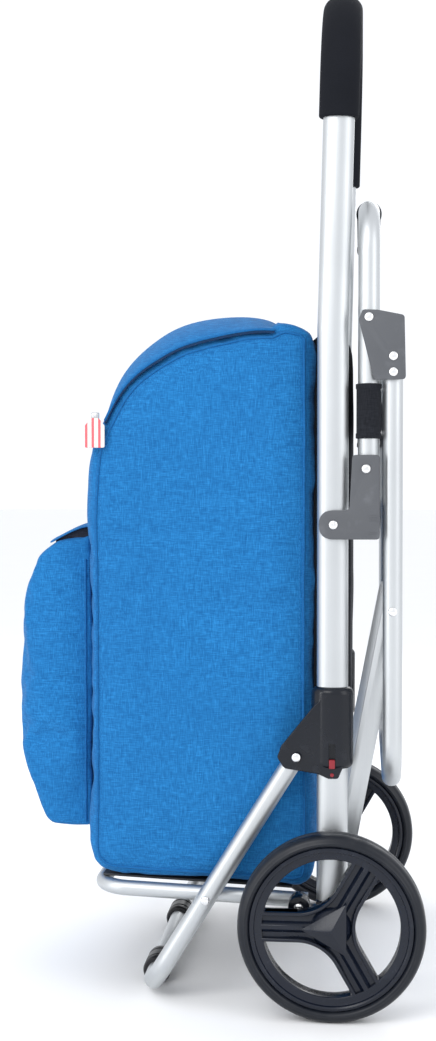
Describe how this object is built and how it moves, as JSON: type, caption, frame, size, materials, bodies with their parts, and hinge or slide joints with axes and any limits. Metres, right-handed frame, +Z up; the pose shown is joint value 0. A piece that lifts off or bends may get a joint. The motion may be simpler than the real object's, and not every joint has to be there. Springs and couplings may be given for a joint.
{
  "type": "folding shopping trolley",
  "caption": "Two-wheel folding shopping trolley with a zipped fabric bag, front leg on sliding collars, and a seat with rear leg that folds up behind the frame.",
  "frame": {"origin": "middle of the bounding box, on the ground under the wheels and front feet", "axes": "+Z up, -X towards the bag and front pocket, +X towards the folded seat, Y along the axle"},
  "size_m": [0.4229, 0.4626, 1.063],
  "materials": {
    "anodised_tube": "satin anodised aluminium tube, faint lengthwise drawing lines",
    "polished_rivet": "bright domed rivet heads",
    "steel": "plain steel",
    "black_foam": "closed-cell foam, fine matt grain",
    "black_plastic": "moulded black plastic, soft gloss",
    "grey_plastic": "moulded dark grey plastic, fine texture",
    "red_plastic": "moulded red plastic",
    "tyre_rubber": "solid black tyre with bright worn rings",
    "wheel_plastic": "moulded blue-black plastic, soft gloss",
    "nylon": "plain nylon bush",
    "rubber": "moulded rubber foot",
    "blue_fabric": "melange woven polyester, bright blue with darker slubs, stitched and piped",
    "black_fabric": "plain black woven nylon",
    "tab_fabric": "woven off-white tab with plain coral stripes"
  },
  "bodies": {
    "frame": {"main_frame_tube": "anodised_tube", "handle_foam_grip": "black_foam", "upper_crossbar": "anodised_tube", "axle_rod": "steel", "axle_bracket_left": "black_plastic", "axle_bracket_right": "black_plastic", "base_pivot_pin_left": "polished_rivet", "base_pivot_pin_right": "polished_rivet", "seat_pivot_pin_left": "polished_rivet", "seat_pivot_pin_right": "polished_rivet", "bag_shell": "blue_fabric", "front_pocket": "blue_fabric", "rear_pocket": "black_fabric", "zip_slider": "steel"},
    "wheel_left": {"tyre_left": "tyre_rubber", "wheel_rim_left": "wheel_plastic", "wheel_bush_left": "nylon", "hub_cap_left": "wheel_plastic"},
    "wheel_right": {"tyre_right": "tyre_rubber", "wheel_rim_right": "wheel_plastic", "wheel_bush_right": "nylon", "hub_cap_right": "wheel_plastic"},
    "base": {"base_frame_tube": "anodised_tube", "base_board": "black_plastic", "base_link_rivet_left": "polished_rivet", "base_link_rivet_right": "polished_rivet"},
    "collars": {"collar_left": "black_plastic", "collar_right": "black_plastic", "collar_leg_rivet_left": "polished_rivet", "collar_leg_rivet_right": "polished_rivet"},
    "latch_left": {"collar_latch_left": "red_plastic"},
    "latch_right": {"collar_latch_right": "red_plastic"},
    "front_leg": {"front_leg_tube": "anodised_tube", "front_foot_left": "rubber", "front_foot_right": "rubber", "leg_link_rivet_left": "polished_rivet", "leg_link_rivet_right": "polished_rivet"},
    "seat": {"seat_frame_tube": "anodised_tube", "seat_sling": "black_fabric", "seat_pivot_bracket_left": "grey_plastic", "seat_pivot_bracket_right": "grey_plastic", "seat_bracket_rivet_left": "polished_rivet", "seat_bracket_rivet_right": "polished_rivet", "leg_hinge_pin_left": "polished_rivet", "leg_hinge_pin_right": "polished_rivet"},
    "rear_leg": {"rear_leg_tube": "anodised_tube", "leg_hinge_bracket_left": "grey_plastic", "leg_hinge_bracket_right": "grey_plastic", "leg_bracket_rivet_upper_left": "polished_rivet", "leg_bracket_rivet_upper_right": "polished_rivet", "leg_bracket_rivet_lower_left": "polished_rivet", "leg_bracket_rivet_lower_right": "polished_rivet", "leg_strut_rivet_left": "polished_rivet", "leg_strut_rivet_right": "polished_rivet"},
    "struts": {"strut_left": "anodised_tube", "strut_right": "anodised_tube", "strut_rivet_left": "polished_rivet", "strut_rivet_right": "polished_rivet"},
    "lid": {"bag_lid": "blue_fabric"},
    "zip_tab": {"zip_pull_tab": "tab_fabric"}
  },
  "joints": [
    {"name": "wheel_left_spin", "type": "hinge", "parent": "frame", "child": "wheel_left", "pos_m": [0.1165, -0.208, 0.095], "axis": [0, 1, 0], "continuous": true},
    {"name": "wheel_right_spin", "type": "hinge", "parent": "frame", "child": "wheel_right", "pos_m": [0.1165, 0.208, 0.095], "axis": [0, 1, 0], "continuous": true},
    {"name": "base_fold", "type": "hinge", "parent": "frame", "child": "base", "pos_m": [0.0825, 0, 0.107], "axis": [0, 1, 0], "range_deg": [0, 75], "deforming": ["bag_shell", "front_pocket"]},
    {"name": "collar_slide", "type": "slide", "parent": "frame", "child": "collars", "axis": [0, 0, 1], "range_m": [0, 0.116]},
    {"name": "front_leg_hinge", "type": "hinge", "parent": "collars", "child": "front_leg", "pos_m": [0.08, 0, 0.2625], "axis": [0, 1, 0], "range_deg": [-26, 0]},
    {"name": "latch_left_slide", "type": "slide", "parent": "collars", "child": "latch_left", "axis": [0, 0, 1], "range_m": [0, 0.004], "stiffness_N_per_m": 300},
    {"name": "latch_right_slide", "type": "slide", "parent": "collars", "child": "latch_right", "axis": [0, 0, 1], "range_m": [0, 0.004], "stiffness_N_per_m": 300},
    {"name": "seat_fold", "type": "hinge", "parent": "frame", "child": "seat", "pos_m": [0.1173, 0, 0.4995], "axis": [0, 1, 0], "range_deg": [0, 90]},
    {"name": "rear_leg_hinge", "type": "hinge", "parent": "seat", "child": "rear_leg", "pos_m": [0.1528, 0, 0.7095], "axis": [0, 1, 0], "range_deg": [-104.9, 0]},
    {"name": "strut_hinge", "type": "hinge", "parent": "frame", "child": "struts", "pos_m": [0.1165, 0, 0.095], "axis": [0, 1, 0], "range_deg": [0, 63.6]},
    {"name": "lid_hinge", "type": "hinge", "parent": "frame", "child": "lid", "pos_m": [0.0555, 0, 0.727], "axis": [0, 1, 0], "range_deg": [0, 100]},
    {"name": "zip_tab_hinge", "type": "hinge", "parent": "frame", "child": "zip_tab", "pos_m": [-0.1325, -0.1629, 0.6104], "axis": [-1, 0, 0], "range_deg": [0, 80]}
  ],
  "couplings": [
    {"joint": "collar_slide", "follows": "base_fold", "m_per_rad": 0.08845},
    {"joint": "front_leg_hinge", "follows": "base_fold", "ratio": -0.34442},
    {"joint": "rear_leg_hinge", "follows": "seat_fold", "ratio": -1.1634},
    {"joint": "strut_hinge", "follows": "seat_fold", "ratio": 0.70472}
  ]
}
